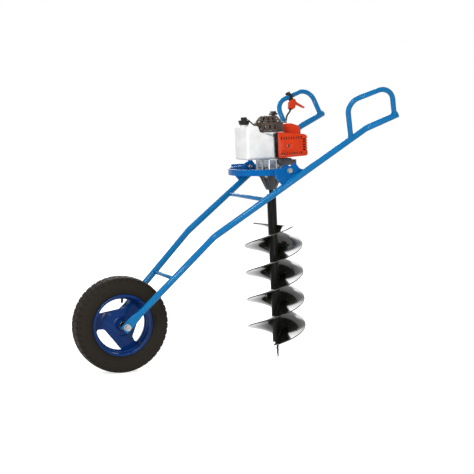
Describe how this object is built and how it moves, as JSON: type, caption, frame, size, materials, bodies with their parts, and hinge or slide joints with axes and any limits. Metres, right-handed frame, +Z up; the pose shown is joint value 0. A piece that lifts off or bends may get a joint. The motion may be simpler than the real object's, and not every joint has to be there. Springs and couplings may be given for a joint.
{
  "type": "earth auger",
  "caption": "Petrol earth auger on a wheeled barrow frame: a spiral bit hangs under a small engine in a tilting cradle, and two handle loops steer it.",
  "frame": {"origin": "on the ground, in the middle of the object's box", "axes": "+X from the wheel to the handles, +Y to the operator's right as they push, +Z up"},
  "size_m": [1.3102, 0.7272, 1.1602],
  "materials": {
    "frame_paint": "gloss powder coat",
    "wheel_paint": "gloss paint",
    "zinc_steel": "zinc plated",
    "black_steel": "black oxide",
    "tyre_rubber": "matt",
    "soft_rubber": "matt",
    "black_plastic": "grained",
    "orange_plastic": "gloss",
    "tank_plastic": "satin",
    "cast_aluminium": "as cast",
    "dark_casting": "grey paint on a casting",
    "muffler_steel": "heat stained",
    "auger_paint": "gloss black",
    "starter_plastic": "satin",
    "starter_cord": "braided",
    "primer_rubber": "satin"
  },
  "bodies": {
    "frame": {"left_rail": "frame_paint", "right_rail": "frame_paint", "left_handle_loop": "frame_paint", "right_handle_loop": "frame_paint", "lower_cross_bar": "frame_paint", "upper_cross_bar": "frame_paint", "left_bracket": "frame_paint", "right_bracket": "frame_paint", "pivot_bolts": "zinc_steel", "pivot_nuts": "zinc_steel", "frame_washers": "zinc_steel", "axle_bolt": "zinc_steel", "axle_nut": "zinc_steel", "axle_spacers": "black_steel", "throttle_clamp": "black_plastic", "clamp_screw": "zinc_steel", "throttle_body": "orange_plastic", "throttle_cable": "soft_rubber"},
    "wheel": {"tyre": "tyre_rubber", "inner_tube": "soft_rubber", "rim": "wheel_paint", "wheel_disc": "wheel_paint", "hub": "wheel_paint", "hub_bearings": "zinc_steel"},
    "drill_head": {"cradle_hoop": "frame_paint", "cradle_plate": "frame_paint", "flange_bolts": "zinc_steel", "gearbox_housing": "dark_casting", "output_bearing": "zinc_steel", "oil_seal": "soft_rubber", "clutch_housing": "cast_aluminium", "engine_yoke": "dark_casting", "crankcase": "cast_aluminium", "engine_cylinder": "cast_aluminium", "spark_plug": "zinc_steel", "plug_cap": "soft_rubber", "muffler": "muffler_steel", "muffler_guard": "orange_plastic", "cylinder_cover": "orange_plastic", "cover_screws": "zinc_steel", "fan_housing": "starter_plastic", "starter_housing": "starter_plastic", "fuel_tank": "tank_plastic", "fuel_hose": "soft_rubber", "carburettor": "cast_aluminium", "air_cleaner_base": "black_plastic", "air_cleaner_cover": "black_plastic", "starter_rope": "starter_cord"},
    "crank": {"flywheel": "cast_aluminium"},
    "fuel_cap": {"fuel_cap": "black_plastic"},
    "starter": {"starter_grip": "black_plastic"},
    "throttle": {"throttle_lever": "orange_plastic"},
    "stop_switch": {"stop_switch": "black_plastic"},
    "choke": {"choke_lever": "black_plastic"},
    "primer": {"primer_bulb": "primer_rubber"},
    "auger": {"output_shaft": "auger_paint", "drive_pin": "auger_paint", "auger_tube": "auger_paint", "auger_flight": "auger_paint", "pilot_point": "auger_paint"}
  },
  "joints": [
    {"name": "wheel_spin", "type": "hinge", "parent": "frame", "child": "wheel", "pos_m": [-0.45706, 0, 0.198], "axis": [0, 1, 0], "continuous": true},
    {"name": "head_tilt", "type": "hinge", "parent": "frame", "child": "drill_head", "pos_m": [0.20394, 0, 0.82], "axis": [0, 1, 0], "range_deg": [-33, 28], "deforming": ["throttle_cable"]},
    {"name": "auger_spin", "type": "hinge", "parent": "drill_head", "child": "auger", "pos_m": [0.22192, 0, 0.82088], "axis": [-0.0489, 0, 0.9988], "continuous": true},
    {"name": "crank_spin", "type": "hinge", "parent": "drill_head", "child": "crank", "pos_m": [0.22192, 0, 0.82088], "axis": [-0.0489, 0, 0.9988], "continuous": true},
    {"name": "fuel_cap_turn", "type": "hinge", "parent": "drill_head", "child": "fuel_cap", "pos_m": [0.09897, 0, 1.00109], "axis": [-0.0489, 0, 0.9988], "range_deg": [0, 120]},
    {"name": "starter_pull", "type": "slide", "parent": "drill_head", "child": "starter", "axis": [-0.0489, 0, 0.9988], "range_m": [0, 0.45], "stiffness_N_per_m": 20, "springref_m": -0.2, "deforming": ["starter_rope"]},
    {"name": "throttle_squeeze", "type": "hinge", "parent": "frame", "child": "throttle", "pos_m": [0.50176, 0.33189, 1.10018], "axis": [0.0598, -0.9438, 0.3252], "range_deg": [0, 38], "stiffness_Nm_per_rad": 0.5, "springref_deg": -22.92},
    {"name": "stop_switch_slide", "type": "slide", "parent": "frame", "child": "stop_switch", "axis": [-0.3921, 0.2773, 0.8771], "range_m": [0, 0.0044]},
    {"name": "choke_turn", "type": "hinge", "parent": "drill_head", "child": "choke", "pos_m": [0.25219, 0.098, 0.91847], "axis": [0, 1, 0], "range_deg": [0, 60]},
    {"name": "primer_press", "type": "slide", "parent": "drill_head", "child": "primer", "axis": [-0.9988, 0, -0.0489], "range_m": [0, 0.004], "stiffness_N_per_m": 800, "springref_m": -0.002}
  ]
}
